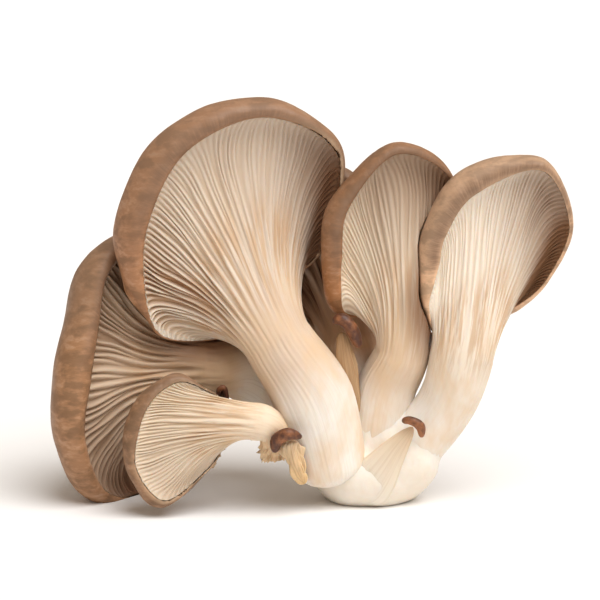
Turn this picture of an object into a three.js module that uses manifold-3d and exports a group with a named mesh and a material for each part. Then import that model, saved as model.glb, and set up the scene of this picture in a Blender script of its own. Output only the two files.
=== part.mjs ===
// A cluster of oyster mushrooms that grew from one butt, lying as picked on a flat surface.
// Millimetres, +Z up. The gilled sides face -Y, and the brown caps arch away towards +Y.
//
// Every mushroom is drawn by the same few rules. Its rim is a closed curve round a hub, in a
// plane that faces the way the gills face. A stem climbs from the foot to the hub, and its
// surface flares out into the gills, which end at the rim. Behind them the brown cap arches
// over, and its margin stands out beyond the rim and rolls in.

import * as THREE from "three";
import { mergeVertices } from "three/addons/utils/BufferGeometryUtils.js";
import Module from "manifold-3d";

const wasm = await Module();
wasm.setup();

// Driving dimensions shared by the whole cluster.
const GAP = 0.3; // clearance between two pieces that touch
const NEAR = 0.24; // clearance that a cap is cut back to where its own flesh comes nearer
const RIM_EDGE = 1; // thickness of the gilled flesh where it meets the rim
const LIP_GAP = 0.4; // from the end of the gills to the brown lip
const CAP_FLESH = 4.5; // thickness of the brown cap over the hub
const LEAN = 0.5; // how far the gills round a stem are drawn to its front
const CLEARANCE = 0.7; // how much wider the room is that a mushroom's neighbours leave it
const BOX_MIDDLE = [2.93, 8.64]; // middle of the cluster's box in plan, moved to the origin

// How a gill's edge runs. It leaves along the stem and ends in the rim.
const GILL_RISE = 0.38; // share of the span over which it still follows the stem
const RIM_TURN = 0.08; // share of the span over which it turns in before the rim
const FLAT_SPAN = 10; // a span this short has no bowl
const BOWED_SPAN = 28; // a span this long has the whole bowl
const PLAIN_GILL = 21; // a gill this short has no valley beside it
const PLEATED_GILL = 36; // a gill this long has the whole valley beside it
const VALLEY_AT_STEM = 0.15; // share of the valley's depth where the gills start
const VALLEY_AT_RIM = 0.2; // share of the valley's depth at the rim
const VALLEY_SINKS = 2.6; // how fast a valley deepens from the stem
const VALLEY_RISES = 5; // how fast a valley closes towards the rim

// How the flesh above the gills and the cap's outside bend, as shares.
const FLESH_ARCH = 0.7;
const FLESH_CROWN = 0.6;
const GIRTH_DEPTH = 0.7; // depth of the margin's widest place behind the lip, to its bulge
const LIP_THICK = 1; // the least depth of that place
const MARGIN_OUT = 0.6;
const MARGIN_FORWARD = 0.25;
const MARGIN_BACK = 0.6;
const DOME_ARCH = 0.55;
const DOME_CROWN = 0.55;

// Where the rings of points lie, as shares of the way along each surface.
const ALONG_GILL = [0, 0.1, 0.24, 0.4, 0.56, 0.72, 0.88, 1];
const ALONG_FLESH = [0, 0.35, 0.7];
const ALONG_MARGIN = [0, 0.4];
const ALONG_DOME = [0, 0.2, 0.45, 0.75];
const FOOT_RINGS = 4;
const FOOT_START = 0.02;
const FOOT_END = 0.8; // of the way to where the gills start
const STEM_ROOM_RINGS = 8;
const STEM_ROOM_SIDES = 24;
const RIM_POINTS = 60; // points on the rim that its middle is worked out from
const LOBE_SIDES = 20;
const LOBE_RINGS = 10;
const PIN_SIDES = 8;
const PIN_STEPS = 8;
const PIN_BLUNT = 0.06; // how far in from its end a pin's rounding starts
const PIN_TIP = 0.5; // reach of a pin's rounded end, to its thickness
const GROUND_SPAN = 400;
const GROUND_DEEP = 60;

const CREAM = new THREE.Color(0.83, 0.68, 0.5);
const WHITE_FLESH = new THREE.Color(0.86, 0.77, 0.63);
const CAP_BROWN = new THREE.Color(0.36, 0.2, 0.11);
const PIN_TAN = new THREE.Color(0.62, 0.44, 0.27);
const PIN_BROWN = new THREE.Color(0.12, 0.045, 0.025);

// The rim's reach from the hub is given every 30 degrees, anticlockwise as seen from the
// gilled side, from the right. Its lift towards that side and the brown margin's bulge are
// given at even steps round the same turn. A mushroom makes room for the heads that it yields
// to, and for the stems before it in the list.
const MUSHROOMS = [
  {
    name: "large",
    hub: [-12, 3, 65],
    yaw: 15,
    pitch: -10,
    reach: [11.5, 21.5, 41, 46, 43, 36.5, 33, 32, 21.6, 15, 11, 10.5],
    lift: [1, 4, 2, 2, 3, 2, -4, -6],
    bulge: [1.2, 1.3, 1.6, 3, 4.6, 6.2, 7.4, 8.2, 6.4, 2, 1, 0.8, 0.8, 0.6, 0.5, 0.8],
    bowl: 10,
    dome: 20,
    stem: [
      [10, -6, 6.5],
      [3.5, -8, 32],
      [-7.5, -6, 50],
    ],
    radius: [9.6, 11.2, 9.8],
    flat: 0.85,
    gillStart: 0.62,
    gills: 38,
    gillDepth: 2.2,
    yieldsTo: ["middle"],
  },
  {
    name: "right",
    hub: [47.5, -5, 64.5],
    yaw: 10,
    pitch: -8,
    reach: [21.5, 31, 36.3, 24.5, 15.5, 11, 11.2, 14, 17.5, 12, 13.5, 17],
    lift: [1, 2, 0, 1, 3, 2, -5, -4],
    bulge: [1.2, 2.2, 6, 5.3, 3.4, 0.9, 0.8, 2.5],
    bowl: 8,
    dome: 15,
    stem: [
      [25, -1, 9],
      [40.3, -3, 28],
      [45.4, -6, 45],
    ],
    radius: [9, 8.2, 9],
    flat: 0.85,
    gillStart: 0.64,
    gills: 30,
    gillDepth: 1.7,
    yieldsTo: [],
  },
  {
    name: "middle",
    hub: [25.5, -1, 62.5],
    yaw: 15,
    pitch: -8,
    reach: [9, 15, 33, 37.6, 26.4, 17, 14.8, 15, 11, 9, 8, 8.5],
    lift: [-1, 0, 0, 0, 1, -1, -7, -5],
    bulge: [1, 0.7, 2.6, 4.6, 4.2, 0.9, 0.8, 0.5],
    bowl: 8,
    dome: 14,
    stem: [
      [21, 1, 8],
      [24, 1, 31],
      [29, -3, 46],
    ],
    radius: [9, 8.8, 7.8],
    flat: 0.9,
    gillStart: 0.62,
    gills: 28,
    gillDepth: 1.8,
    yieldsTo: ["right"],
  },
  {
    name: "small",
    hub: [-26, -16, 25.5],
    yaw: 10,
    pitch: 5,
    reach: [7, 7.5, 8.3, 9.8, 14.3, 16.5, 18.5, 22.5, 23.5, 12.3, 8.5, 7.5],
    lift: [-5, -2, 0, 0.5, 1, 0.5, 0, -2],
    bulge: [0.5, 0.5, 1.5, 3.2, 3.8, 3, 1, 0.5],
    bowl: 4,
    dome: 9,
    stem: [
      [-7, -11, 15],
      [-7.5, -14, 24],
      [-15, -16, 27],
    ],
    radius: [3.6, 4.6, 5.2],
    flat: 0.85,
    gillStart: 0.6,
    gills: 24,
    gillDepth: 1.3,
    yieldsTo: [],
  },
  {
    name: "left",
    hub: [-43, 12, 36.5],
    yaw: 50,
    pitch: 0,
    reach: [26, 27, 31.7, 35.6, 33.8, 25.7, 26, 32, 38, 37, 34, 29],
    lift: [0, 0, 0, 1, 2, 1, 0, 0],
    bulge: [3, 3, 4, 4.8, 6, 4.4, 1.5, 2],
    bowl: 9,
    dome: 21,
    stem: [
      [10, 5, 13],
      [-13, 8, 35],
      [-27, 7, 38],
    ],
    radius: [9, 9, 8.6],
    flat: 1,
    gillStart: 0.64,
    gills: 36,
    gillDepth: 2.2,
    yieldsTo: ["large", "small"],
  },
  {
    name: "rear",
    hub: [10, 20, 54.5],
    yaw: 0,
    pitch: -6,
    reach: [14, 19, 27, 36, 34, 24, 17, 13, 11, 9.5, 10, 12],
    lift: [0, 0, 0, 0, 0, -2, -6, -4],
    bulge: [2, 2, 3, 3, 3, 2, 1, 1],
    bowl: 6,
    dome: 13,
    stem: [
      [16, 9, 10],
      [15.5, 12, 35],
      [13.5, 15, 45],
    ],
    radius: [8.5, 8.5, 8.5],
    flat: 1,
    gillStart: 0.6,
    gills: 20,
    gillDepth: 1.5,
    yieldsTo: ["large", "middle", "right"],
  },
];

// The butt's lobes: the middle of each and its half sizes.
const BUTT_LOBES = [
  { middle: [20, 3, 8.5], half: [18, 15, 11] },
  { middle: [28.5, 0, 13], half: [11, 11.5, 11.5] },
  { middle: [15, 6, 13], half: [12, 12, 11] },
];

// Young mushrooms that stayed small: the line of the stem and of the curled brown cap, each
// with its thickness along the way.
const PINS = [
  {
    name: "between_stems",
    stem: [
      [16, -3, 25.1],
      [14, -4.5, 33.2],
      [12.8, -5, 41.9],
      [11.4, -5, 49.3],
    ],
    stemRadius: [2.8, 2.5, 2.4, 1.9],
    cap: [
      [9.2, -6, 53.4],
      [11.9, -7, 53.3],
      [15, -7, 50.5],
      [17, -6, 46],
    ],
    capRadius: [1.2, 1.9, 1.9, 1.2],
  },
  {
    name: "on_butt",
    stem: [
      [19.1, -8, 5.9],
      [24, -11, 12.9],
      [27.8, -12, 18.9],
      [31.1, -12, 23.4],
    ],
    stemRadius: [4.5, 3.6, 2.2, 1.3],
    cap: [
      [28, -13, 26.2],
      [30.5, -14, 27.3],
      [33, -14, 26.2],
      [34.4, -13, 23.1],
    ],
    capRadius: [1, 1.7, 1.7, 1],
  },
  {
    name: "at_foot",
    stem: [
      [-0.6, -14, 9.1],
      [-0.8, -16, 14.4],
      [-1.7, -17, 21.2],
    ],
    stemRadius: [1.9, 2.2, 1.8],
    cap: [
      [-6.6, -18, 19.4],
      [-5.8, -19, 23.1],
      [-2.7, -20, 24.1],
      [0.8, -19, 23.1],
    ],
    capRadius: [1.4, 2, 1.7, 1],
  },
  {
    name: "on_left_stem",
    stem: [
      [-21.4, 1, 29],
      [-21.4, -2, 31],
      [-21.2, -4, 33],
    ],
    stemRadius: [1.8, 1.6, 1.3],
    cap: [
      [-22.7, -4, 29.7],
      [-22.4, -5, 33.6],
      [-20.1, -5, 34.2],
      [-19.3, -4, 30.8],
    ],
    capRadius: [0.8, 1.3, 1.3, 0.8],
  },
];

const NOWHERE = new THREE.Vector3();
const vec = (p) => new THREE.Vector3(...p);
const add = (p, ...pairs) =>
  pairs.reduce((sum, [dir, by]) => sum.addScaledVector(dir, by), p.clone());

// The directions of a cap: out of its gills, to its right and up, as seen from the gilled side.
function facing(m) {
  const yaw = THREE.MathUtils.degToRad(m.yaw);
  const pitch = THREE.MathUtils.degToRad(m.pitch);
  const out = new THREE.Vector3(
    Math.sin(yaw) * Math.cos(pitch),
    -Math.cos(yaw) * Math.cos(pitch),
    Math.sin(pitch),
  );
  const right = new THREE.Vector3(Math.cos(yaw), Math.sin(yaw), 0);
  const up = out.clone().cross(right);
  return { out, right, up };
}

const evenly = (count, from, to) =>
  Array.from({ length: count }, (_, i) => from + ((to - from) * i) / (count - 1));

const roundAbout = (count) => Array.from({ length: count }, (_, i) => (2 * Math.PI * i) / count);

// A value given at even steps round a turn, at an angle between them.
function roundTurn(values, angle) {
  const place = ((angle / (2 * Math.PI) + 1) % 1) * values.length;
  const i = Math.floor(place);
  const s = THREE.MathUtils.smoothstep(place - i, 0, 1);
  return values[i % values.length] * (1 - s) + values[(i + 1) % values.length] * s;
}

// The closed rim through its reaches, and the middle of the points on it.
function rimOf(m) {
  const { out, right, up } = facing(m);
  const points = roundAbout(m.reach.length).map((angle, i) => {
    const across = m.reach[i] * Math.cos(angle);
    const above = m.reach[i] * Math.sin(angle);
    return add(vec(m.hub), [right, across], [up, above], [out, roundTurn(m.lift, angle)]);
  });
  const curve = new THREE.CatmullRomCurve3(points, true, "catmullrom", 0.5);
  const middle = new THREE.Vector3();
  curve
    .getSpacedPoints(RIM_POINTS)
    .slice(1)
    .forEach((p) => middle.addScaledVector(p, 1 / RIM_POINTS));
  return { curve, middle };
}

// The stem's centre line, its directions and its surface at a share t of the way to the hub.
function stemOf(m) {
  const { out } = facing(m);
  const path = new THREE.CatmullRomCurve3([...m.stem, m.hub].map(vec), false, "catmullrom", 0.5);
  const radius = (t) => {
    const [foot, middle, neck] = m.radius;
    const s = Math.min(t / m.gillStart, 1) * 2;
    return s < 1 ? foot + (middle - foot) * s : middle + (neck - middle) * (s - 1);
  };
  const frame = (t) => {
    const along = path.getTangent(t);
    const front = add(out, [along, -out.dot(along)]).normalize();
    const side = along.clone().cross(front);
    return { along, front, side };
  };
  const surface = (t, angle) => {
    const { front, side } = frame(t);
    const r = radius(t);
    const centre = path.getPoint(t);
    return add(centre, [front, r * m.flat * Math.cos(angle)], [side, r * Math.sin(angle)]);
  };
  return { path, frame, surface };
}

function bezier(a, b, c, d, t) {
  const s = 1 - t;
  return new THREE.Vector3()
    .addScaledVector(a, s * s * s)
    .addScaledVector(b, 3 * s * s * t)
    .addScaledVector(c, 3 * s * t * t)
    .addScaledVector(d, t * t * t);
}

// What every point of the rim settles: the angle of its gill on the stem, and the curves of
// the gills' edges, of the flesh above them, of the cap's lining and of its outside.
function spokes(m, count) {
  const { out, right, up } = facing(m);
  const { curve, middle } = rimOf(m);
  const stem = stemOf(m);
  const { along, front, side } = stem.frame(m.gillStart);
  return Array.from({ length: count }, (_, j) => {
    const rim = curve.getPointAt(j / count);
    const fromHub = rim.clone().sub(vec(m.hub));
    const toFront = fromHub.dot(front) + LEAN * fromHub.dot(along);
    const angle = Math.atan2(fromHub.dot(side), toFront);
    const fromMiddle = rim.clone().sub(middle);
    const radial = add(fromMiddle, [out, -fromMiddle.dot(out)]);
    const reach = radial.length();
    radial.normalize();
    const root = stem.surface(m.gillStart, angle);
    const span = root.distanceTo(rim);
    const bowl = m.bowl * THREE.MathUtils.smoothstep(span, FLAT_SPAN, BOWED_SPAN);
    const bulge = roundTurn(m.bulge, Math.atan2(fromHub.dot(up), fromHub.dot(right)));
    const gillEdge = (w) =>
      bezier(
        root,
        add(root, [along, GILL_RISE * span]),
        add(rim, [out, -bowl], [radial, -RIM_TURN * span]),
        rim,
        w,
      );

    const under = (deeper, wider) => (q) => {
      const start = add(rim, [out, -RIM_EDGE - deeper], [radial, wider]);
      const top = add(middle, [out, CAP_FLESH - m.dome - deeper]);
      return bezier(
        start,
        add(start, [out, FLESH_ARCH * (CAP_FLESH - m.dome)]),
        add(top, [radial, FLESH_CROWN * reach]),
        top,
        q,
      );
    };

    const girthDepth = GIRTH_DEPTH * bulge + LIP_THICK;
    const lip = add(rim, [radial, LIP_GAP]);
    const girth = add(rim, [radial, LIP_GAP + bulge], [out, -girthDepth]);
    const crown = add(middle, [out, -m.dome]);
    const margin = (q) =>
      bezier(
        lip,
        add(lip, [radial, MARGIN_OUT * bulge], [out, MARGIN_FORWARD * bulge]),
        add(girth, [out, MARGIN_BACK * girthDepth]),
        girth,
        q,
      );
    const dome = (q) =>
      bezier(
        girth,
        add(girth, [out, DOME_ARCH * (girthDepth - m.dome)]),
        add(crown, [radial, DOME_CROWN * (reach + bulge)]),
        crown,
        q,
      );
    return {
      angle,
      gillEdge,
      flesh: under(0, 0),
      lining: under(GAP, LIP_GAP),
      margin,
      dome,
    };
  });
}

// Triangles between one ring and the next, which may have half as many points, or twice.
function band(here, next) {
  const faces = [];
  const a = (j) => here[j % here.length];
  const b = (j) => next[j % next.length];
  for (let j = 0; j < Math.min(here.length, next.length); j++) {
    if (here.length === next.length) {
      faces.push([a(j), a(j + 1), b(j)], [a(j + 1), b(j + 1), b(j)]);
    } else if (here.length > next.length) {
      faces.push([a(2 * j), a(2 * j + 1), b(j)], [a(2 * j + 1), b(j + 1), b(j)]);
      faces.push([a(2 * j + 1), a(2 * j + 2), b(j + 1)]);
    } else {
      faces.push([a(j), b(2 * j + 1), b(2 * j)], [a(j), a(j + 1), b(2 * j + 1)]);
      faces.push([a(j + 1), b(2 * j + 2), b(2 * j + 1)]);
    }
  }
  return faces;
}

// A closed body from a pole, rings and a second pole.
function bodyOfRings(first, rings, last) {
  const points = [first, ...rings.flat(), last];
  let used = 1;
  const corners = rings.map((ring) => ring.map(() => used++));
  const near = corners[0];
  const far = corners[corners.length - 1];
  const faces = [
    ...near.map((c, j) => [0, near[(j + 1) % near.length], c]),
    ...corners.slice(1).flatMap((ring, i) => band(corners[i], ring)),
    ...far.map((c, j) => [points.length - 1, c, far[(j + 1) % far.length]]),
  ];
  const geometry = new THREE.BufferGeometry().setFromPoints(points);
  geometry.setIndex(faces.flat());
  return solidOf(geometry);
}

// A three.js geometry as a solid. One whose faces point inwards is turned round.
function solidOf(geometry) {
  geometry.deleteAttribute("normal");
  geometry.deleteAttribute("uv");
  const merged = mergeVertices(geometry, 1e-4);
  const vertProperties = merged.attributes.position.array;
  const triVerts = new Uint32Array(merged.index.array);
  const made = new wasm.Manifold(new wasm.Mesh({ numProp: 3, vertProperties, triVerts }));
  if (made.volume() > 0) return made;
  return new wasm.Manifold(
    new wasm.Mesh({ numProp: 3, vertProperties, triVerts: triVerts.reverse() }),
  );
}

// The gills' edges, with the bottom of a valley after each of them. The valleys are shallow at
// the stem, deepest in the middle and nearly closed at the rim, and fade where a gill is short.
function pleated(edges, depth) {
  const last = edges.length - 1;
  return edges.map((ring, i) =>
    ring.flatMap((p, j) => {
      const next = ring[(j + 1) % ring.length];
      const before = edges[Math.max(i - 1, 0)][j];
      const after = edges[Math.min(i + 1, last)][j];
      const outward = next.clone().sub(p).cross(after.clone().sub(before)).normalize();
      const length = edges[0][j].distanceTo(edges[last][j]);
      const whole = THREE.MathUtils.smoothstep(length, PLAIN_GILL, PLEATED_GILL);
      const w = ALONG_GILL[i];
      const nearStem = VALLEY_AT_STEM + VALLEY_SINKS * w;
      const nearRim = VALLEY_AT_RIM + VALLEY_RISES * (1 - w);
      const sink = depth * whole * Math.min(1, nearStem, nearRim);
      return [p, add(p.clone().lerp(next, 0.5), [outward, -sink])];
    }),
  );
}

// Stem and gills: one body from the foot up the stem, out along the gills' edges to the rim,
// and back over the flesh to the middle of the cap.
function stemAndGills(m, depth) {
  const lines = spokes(m, m.gills);
  const stem = stemOf(m);
  const foot = evenly(FOOT_RINGS, FOOT_START, FOOT_END * m.gillStart).map((t) =>
    lines.map((line) => stem.surface(t, line.angle)),
  );
  const edges = ALONG_GILL.map((w) => lines.map((line) => line.gillEdge(w)));
  const flare = depth > 0 ? pleated(edges, depth) : edges;
  const flesh = ALONG_FLESH.map((q) => lines.map((line) => line.flesh(q)));
  return bodyOfRings(stem.path.getPoint(0), [...foot, ...flare, ...flesh], lines[0].flesh(1));
}

// The outside of the brown cap, from the lip round the margin and over the dome.
const capOutside = (lines) => [
  ...ALONG_MARGIN.map((q) => lines.map((line) => line.margin(q))),
  ...ALONG_DOME.map((q) => lines.map((line) => line.dome(q))),
];

// The brown cap: its lining over the flesh, and its outside.
function brownCap(m) {
  const lines = spokes(m, m.gills);
  const lining = ALONG_FLESH.toReversed().map((q) => lines.map((line) => line.lining(q)));
  return bodyOfRings(lines[0].lining(1), [...lining, ...capOutside(lines)], lines[0].dome(1));
}

// The same mushroom, a little larger all round.
function grown(m, by) {
  return {
    ...m,
    reach: m.reach.map((r) => r + by),
    lift: m.lift.map((l) => l + by),
    radius: m.radius.map((r) => r + by),
    dome: m.dome + 2 * by,
  };
}

// The room that a mushroom's head takes, from where its gills start to its crown.
function headRoom(m) {
  const lines = spokes(grown(m, CLEARANCE), m.gills);
  const gills = ALONG_GILL.slice(0, -1).map((w) => lines.map((line) => line.gillEdge(w)));
  const start = stemOf(m).path.getPoint(m.gillStart);
  return bodyOfRings(start, [...gills, ...capOutside(lines)], lines[0].dome(1));
}

// The room that a mushroom's stem takes, from its foot to where its gills start.
function stemRoom(m) {
  const stem = stemOf(grown(m, GAP));
  const rings = evenly(STEM_ROOM_RINGS, 0, m.gillStart).map((t) =>
    roundAbout(STEM_ROOM_SIDES).map((angle) => stem.surface(t, angle)),
  );
  return bodyOfRings(stem.path.getPoint(0), rings, stem.path.getPoint(m.gillStart));
}

function ball({ middle, half }, grow) {
  const sphere = new THREE.SphereGeometry(1, LOBE_SIDES, LOBE_RINGS);
  sphere.rotateX(Math.PI / 2);
  sphere.scale(...half.map((h) => h + grow));
  sphere.translate(...middle);
  return solidOf(sphere);
}

// The butt that all the stems grew from, a few rounded lobes in one.
const buttBody = (grow) => BUTT_LOBES.map((lobe) => ball(lobe, grow)).reduce((a, b) => a.add(b));

// A bent rod with rounded ends, thicker in some places than in others.
function bentRod(points, radii, grow = 0) {
  const path = new THREE.CatmullRomCurve3(points.map(vec), false, "catmullrom", 0.5);
  const { normals, binormals } = path.computeFrenetFrames(PIN_STEPS);
  const rings = evenly(PIN_STEPS + 1, 0, 1).map((t, i) => {
    const k = Math.min(Math.floor(t * (radii.length - 1)), radii.length - 2);
    const thick = radii[k] + (radii[k + 1] - radii[k]) * (t * (radii.length - 1) - k);
    const fromEnd = Math.sin(Math.PI * (PIN_BLUNT + (1 - 2 * PIN_BLUNT) * t));
    const r = thick * Math.min(1, Math.sqrt(2 * fromEnd)) + grow;
    return roundAbout(PIN_SIDES).map((a) =>
      add(path.getPoint(t), [normals[i], r * Math.cos(a)], [binormals[i], r * Math.sin(a)]),
    );
  });
  const reachOut = PIN_TIP * radii[0] + grow;
  const first = add(path.getPoint(0), [path.getTangent(0), -reachOut]);
  const last = add(path.getPoint(1), [path.getTangent(1), reachOut]);
  return bodyOfRings(first, rings, last);
}

const largestOf = (solid) => solid.decompose().sort((a, b) => b.volume() - a.volume())[0];

function toMesh(name, solid, color, roughness) {
  const made = solid.getMesh();
  const positions = new Float32Array(made.numVert * 3);
  for (let i = 0; i < made.numVert; i++) {
    positions.set(made.vertProperties.subarray(i * made.numProp, i * made.numProp + 3), i * 3);
  }
  const geometry = new THREE.BufferGeometry();
  geometry.setAttribute("position", new THREE.BufferAttribute(positions, 3));
  geometry.setIndex(new THREE.BufferAttribute(made.triVerts, 1));
  geometry.computeVertexNormals();
  const mesh = new THREE.Mesh(
    geometry,
    new THREE.MeshStandardMaterial({ color, roughness, metalness: 0 }),
  );
  mesh.name = name;
  return mesh;
}

// What lies below the surface is cut off, which leaves flats for the cluster to stand on.
const groundBox = new THREE.BoxGeometry(GROUND_SPAN, GROUND_SPAN, GROUND_DEEP);
groundBox.translate(0, 0, -GROUND_DEEP / 2);
const ground = solidOf(groundBox);

const cluster = new THREE.Group();
cluster.add(toMesh("butt", buttBody(0).subtract(ground), WHITE_FLESH, 0.8));
let stemsSoFar = buttBody(GAP);
let everything = buttBody(GAP);
for (const m of MUSHROOMS) {
  const heads = MUSHROOMS.filter((other) => m.yieldsTo.includes(other.name)).map(headRoom);
  const room = heads.reduce((a, b) => a.add(b), stemsSoFar).add(ground);
  const flesh = largestOf(stemAndGills(m, m.gillDepth).subtract(room));
  const { out } = facing(m);
  const nearFlesh = [-NEAR, 0, NEAR].map((by) => flesh.translate(...add(NOWHERE, [out, by])));
  const ownRoom = nearFlesh.reduce((a, b) => a.add(b), stemAndGills(grown(m, NEAR), 0));
  const cap = largestOf(brownCap(m).subtract(room).subtract(ownRoom));
  cluster.add(toMesh(`stem_and_gills_${m.name}`, flesh, CREAM, 0.8));
  cluster.add(toMesh(`cap_${m.name}`, cap, CAP_BROWN, 0.6));
  stemsSoFar = stemsSoFar.add(stemRoom(m));
  everything = everything.add(headRoom(m));
}
everything = everything.add(stemsSoFar);
for (const pin of PINS) {
  const stem = bentRod(pin.stem, pin.stemRadius);
  const cap = bentRod(pin.cap, pin.capRadius);
  const free = stem.subtract(bentRod(pin.cap, pin.capRadius, GAP)).subtract(everything);
  cluster.add(toMesh(`pin_stem_${pin.name}`, largestOf(free), PIN_TAN, 0.8));
  cluster.add(toMesh(`pin_cap_${pin.name}`, largestOf(cap.subtract(everything)), PIN_BROWN, 0.5));
}
cluster.position.set(-BOX_MIDDLE[0], -BOX_MIDDLE[1], 0);

export default cluster;
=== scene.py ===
"""A cluster of oyster mushrooms: the finished surfaces, grown over the cluster's plain solids.

Every mushroom follows the rules of its solid. Its rim is a closed curve round a hub, a stem
climbs from the foot to the hub and flares out into the gills, and the brown cap arches over
them. Here the gills are thin blades, the shorter ones start part of the way out, and the skin,
the flesh and the butt have their grain.
"""

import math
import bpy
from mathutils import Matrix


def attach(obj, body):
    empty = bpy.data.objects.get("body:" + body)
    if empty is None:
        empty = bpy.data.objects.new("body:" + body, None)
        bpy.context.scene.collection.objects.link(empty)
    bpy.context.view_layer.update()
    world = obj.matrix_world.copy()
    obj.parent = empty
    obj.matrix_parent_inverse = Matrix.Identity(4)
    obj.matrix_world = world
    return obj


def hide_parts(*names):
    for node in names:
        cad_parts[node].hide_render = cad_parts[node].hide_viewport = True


bl_info = {
    "name": "Oyster Mushroom Cluster",
    "version": (1, 0, 0),
    "blender": (4, 5, 0),
    "location": "View3D > Sidebar > Mushrooms",
    "description": "Builds a cluster of oyster mushrooms with its gills, caps, butt and pins",
    "category": "Add Mesh",
}

from dataclasses import dataclass

import bmesh
import bpy
import numpy as np
from bpy.props import FloatProperty, FloatVectorProperty, IntProperty, PointerProperty
from mathutils import Matrix, Vector, noise
from mathutils.kdtree import KDTree

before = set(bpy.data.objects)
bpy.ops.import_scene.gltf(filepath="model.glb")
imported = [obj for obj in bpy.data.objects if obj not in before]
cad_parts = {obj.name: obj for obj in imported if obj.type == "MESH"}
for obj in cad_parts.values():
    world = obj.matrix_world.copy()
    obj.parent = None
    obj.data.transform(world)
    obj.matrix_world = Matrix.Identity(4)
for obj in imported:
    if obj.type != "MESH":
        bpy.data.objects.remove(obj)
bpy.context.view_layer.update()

MM = 0.001
TURN = 2 * math.pi
BOX_MIDDLE = np.array([2.93, 8.64, 0.0])  # where the frame's origin lies in the plan, mm

RIM_EDGE = 1.0  # thickness of the gilled flesh where it meets the rim, mm
LIP_GAP = 0.06  # from the end of the gills to the brown lip, mm
LIP_FORWARD = 0.15  # how far the lip stands before the ends of the gills, mm
LINING_GAP = 0.3  # between the flesh and the cap over it, mm
CAP_FLESH = 4.5  # thickness of the brown cap over the hub, mm
LEAN = 0.5  # how far the gills round a stem are drawn to its front
HEAD_CLEARANCE = 0.7  # room that a head's neighbours leave it, mm
RIM_SHADOW_REACH = (1, 12)  # how far the painted shadow round a neighbour's rim reaches, mm
RIM_SHADOW_DARK = 0.9  # how dark the painted shadow is beside the rim

GILL_RISE = 0.38  # how far a gill climbs along the stem first, to its span
RIM_TURN = 0.08  # how far it turns in before the rim, to its span
FLAT_SPAN = 10  # a gill of this span or less has no bowl, mm
BOWED_SPAN = 28  # a gill of this span or more has the whole bowl, mm
PLAIN_GILL = 14  # span below which a gill is shallow, mm
PLEATED_GILL = 30  # span above which it has its whole depth, mm
DRIFT = 0.3  # how far a gill strays to a side, in gills
CURL = 1.5  # how far whole bunches of gills sway, in gills
FLESH_ARCH = 0.7  # pull on the curve of the flesh at the rim
FLESH_CROWN = 0.6  # pull on it at the crown
GIRTH_DEPTH = 0.7  # depth of the cap's widest line behind the lip, to the bulge
LIP_THICK = 1  # that depth where nothing bulges, mm
MARGIN_OUT = 0.6  # pull on the rolled margin away from the hub
MARGIN_FORWARD = 0.25  # pull on it forwards
MARGIN_BACK = 0.6  # pull on it at the widest line
DOME_ARCH = 0.55  # pull on the back's curve at the widest line
DOME_CROWN = 0.55  # pull on it at the crown

RIM_STEPS = 720
PER_GILL = 9  # columns of points to a gill


@dataclass
class Mushroom:
    """One mushroom's plan in mm and degrees. What differs round the hub is given at even steps,
    anticlockwise from the right as seen from the gilled side."""

    name: str
    seed: int
    hub: tuple
    yaw: float
    pitch: float
    reach: tuple  # from the hub to the rim
    lift: tuple  # how far the rim stands before the hub
    bulge: tuple  # width of the rolled margin
    bowl: float
    dome: float
    stem: tuple
    radius: tuple
    flat: float  # thickness of the stem, to its width
    gill_start: float  # where the gills leave the stem, in shares of its way to the hub
    gills: int
    gill_rows: int
    gill_depth: float
    fade: float  # share of a gill's way over which it rises from the stem
    edge_colour: tuple
    # groove_colour: painted shade in the grooves between the gills, and the colour of the flesh's streaks
    groove_colour: tuple
    stem_colour: tuple
    foot_colour: tuple
    skin_colour: tuple
    yields_to: tuple = ()  # the mushrooms in front, which are left their room
    relief: tuple = (1,) * 8  # how deep the gills are cut
    shade: tuple = (1,) * 8  # painted shade: how dark and brown the gills are painted towards the rim, where they face away from the light
    torn: tuple = (0,) * 8  # how torn the rim is
    ragged: float = 0  # how ragged the foot is


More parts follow.
